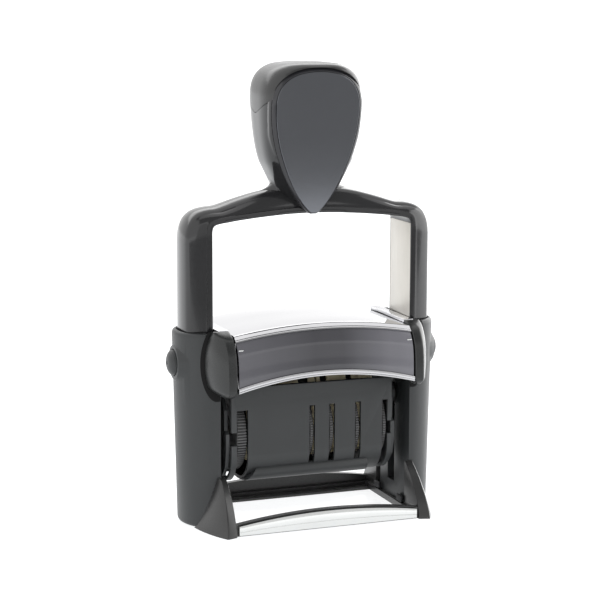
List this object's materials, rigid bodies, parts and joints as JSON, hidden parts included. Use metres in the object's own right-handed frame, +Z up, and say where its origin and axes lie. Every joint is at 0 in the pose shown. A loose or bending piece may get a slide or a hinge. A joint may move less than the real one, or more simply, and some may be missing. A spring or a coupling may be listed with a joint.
{
  "type": "rotary date stamp",
  "caption": "Self-inking date stamp: a sprung bow handle slides in two columns and turns a carriage of date bands from the ink pad to the paper.",
  "frame": {"origin": "middle of the base, on the surface the stamp stands on", "axes": "+Z up, +X to the right of a user who faces the front, which looks towards -Y"},
  "size_m": [0.1014, 0.0546, 0.16],
  "materials": {
    "casing": "satin moulded black plastic",
    "bridge_cap": "semi-gloss black plastic",
    "chrome_trim": "bright polished plating",
    "index_window": "smoked glossy window",
    "damper": "matte black rubber",
    "ink_pad": "ink-soaked felt",
    "handle": "glossy black plastic",
    "knob_cap": "satin dark grey plastic",
    "knob_plate": "satin blue-grey plastic",
    "steel": "brushed",
    "carriage": "fine matte dark grey plastic",
    "wheel": "matte black plastic",
    "type_band": "beige moulded rubber"
  },
  "bodies": {
    "casing": {"left_column": "casing", "right_column": "casing", "base_frame": "casing", "front_base_trim": "chrome_trim", "rear_base_trim": "chrome_trim", "left_bridge_cap": "bridge_cap", "right_bridge_cap": "bridge_cap", "bridge_frame": "casing", "bridge_cover": "chrome_trim", "front_index_window": "index_window", "rear_index_window": "index_window", "left_front_damper": "damper", "left_rear_damper": "damper", "right_front_damper": "damper", "right_rear_damper": "damper", "left_return_spring": "steel", "right_return_spring": "steel"},
    "cartridge": {"ink_cartridge": "casing", "ink_pad": "ink_pad"},
    "left_lock": {"left_lock_button": "casing"},
    "right_lock": {"right_lock_button": "casing"},
    "handle": {"handle_bow": "handle", "left_steel_rail": "steel", "right_steel_rail": "steel", "left_axle": "steel", "right_axle": "steel", "knob_body": "handle", "knob_cap": "knob_cap", "knob_front_plate": "knob_plate", "knob_rear_plate": "knob_plate"},
    "carriage": {"carriage_cover": "carriage", "left_end_plate": "carriage", "right_end_plate": "carriage", "printing_bar": "carriage", "wheel_shaft": "steel", "phrase_band": "type_band", "day_tens_band": "type_band", "day_units_band": "type_band", "month_band": "type_band", "year_band": "type_band"},
    "phrase_dial": {"phrase_wheel": "wheel"},
    "day_tens_dial": {"day_tens_wheel": "wheel"},
    "day_units_dial": {"day_units_wheel": "wheel"},
    "month_dial": {"month_wheel": "wheel"},
    "year_dial": {"year_wheel": "wheel"}
  },
  "joints": [
    {"name": "handle_press", "type": "slide", "parent": "casing", "child": "handle", "axis": [0, 0, -1], "range_m": [0, 0.03], "stiffness_N_per_m": 500, "springref_m": -0.012, "deforming": ["left_return_spring", "right_return_spring"]},
    {"name": "carriage_flip", "type": "hinge", "parent": "handle", "child": "carriage", "pos_m": [0, 0, 0.041], "axis": [1, 0, 0], "range_deg": [0, 180]},
    {"name": "left_lock_press", "type": "slide", "parent": "casing", "child": "left_lock", "axis": [1, 0, 0], "range_m": [0, 0.0012], "stiffness_N_per_m": 400},
    {"name": "right_lock_press", "type": "slide", "parent": "casing", "child": "right_lock", "axis": [-1, 0, 0], "range_m": [0, 0.0012], "stiffness_N_per_m": 400},
    {"name": "cartridge_slide", "type": "slide", "parent": "casing", "child": "cartridge", "axis": [0, 1, 0], "range_m": [0, 0.045]},
    {"name": "phrase_turn", "type": "hinge", "parent": "carriage", "child": "phrase_dial", "pos_m": [-0.028, -0.0007, 0.0316], "axis": [1, 0, 0], "continuous": true},
    {"name": "day_tens_turn", "type": "hinge", "parent": "carriage", "child": "day_tens_dial", "pos_m": [0, -0.0007, 0.0316], "axis": [1, 0, 0], "continuous": true},
    {"name": "day_units_turn", "type": "hinge", "parent": "carriage", "child": "day_units_dial", "pos_m": [0.005, -0.0007, 0.0316], "axis": [1, 0, 0], "continuous": true},
    {"name": "month_turn", "type": "hinge", "parent": "carriage", "child": "month_dial", "pos_m": [0.012, -0.0007, 0.0316], "axis": [1, 0, 0], "continuous": true},
    {"name": "year_turn", "type": "hinge", "parent": "carriage", "child": "year_dial", "pos_m": [0.02, -0.0007, 0.0316], "axis": [1, 0, 0], "continuous": true}
  ],
  "couplings": [
    {"joint": "carriage_flip", "follows": "handle_press", "rad_per_m": 104.7}
  ]
}
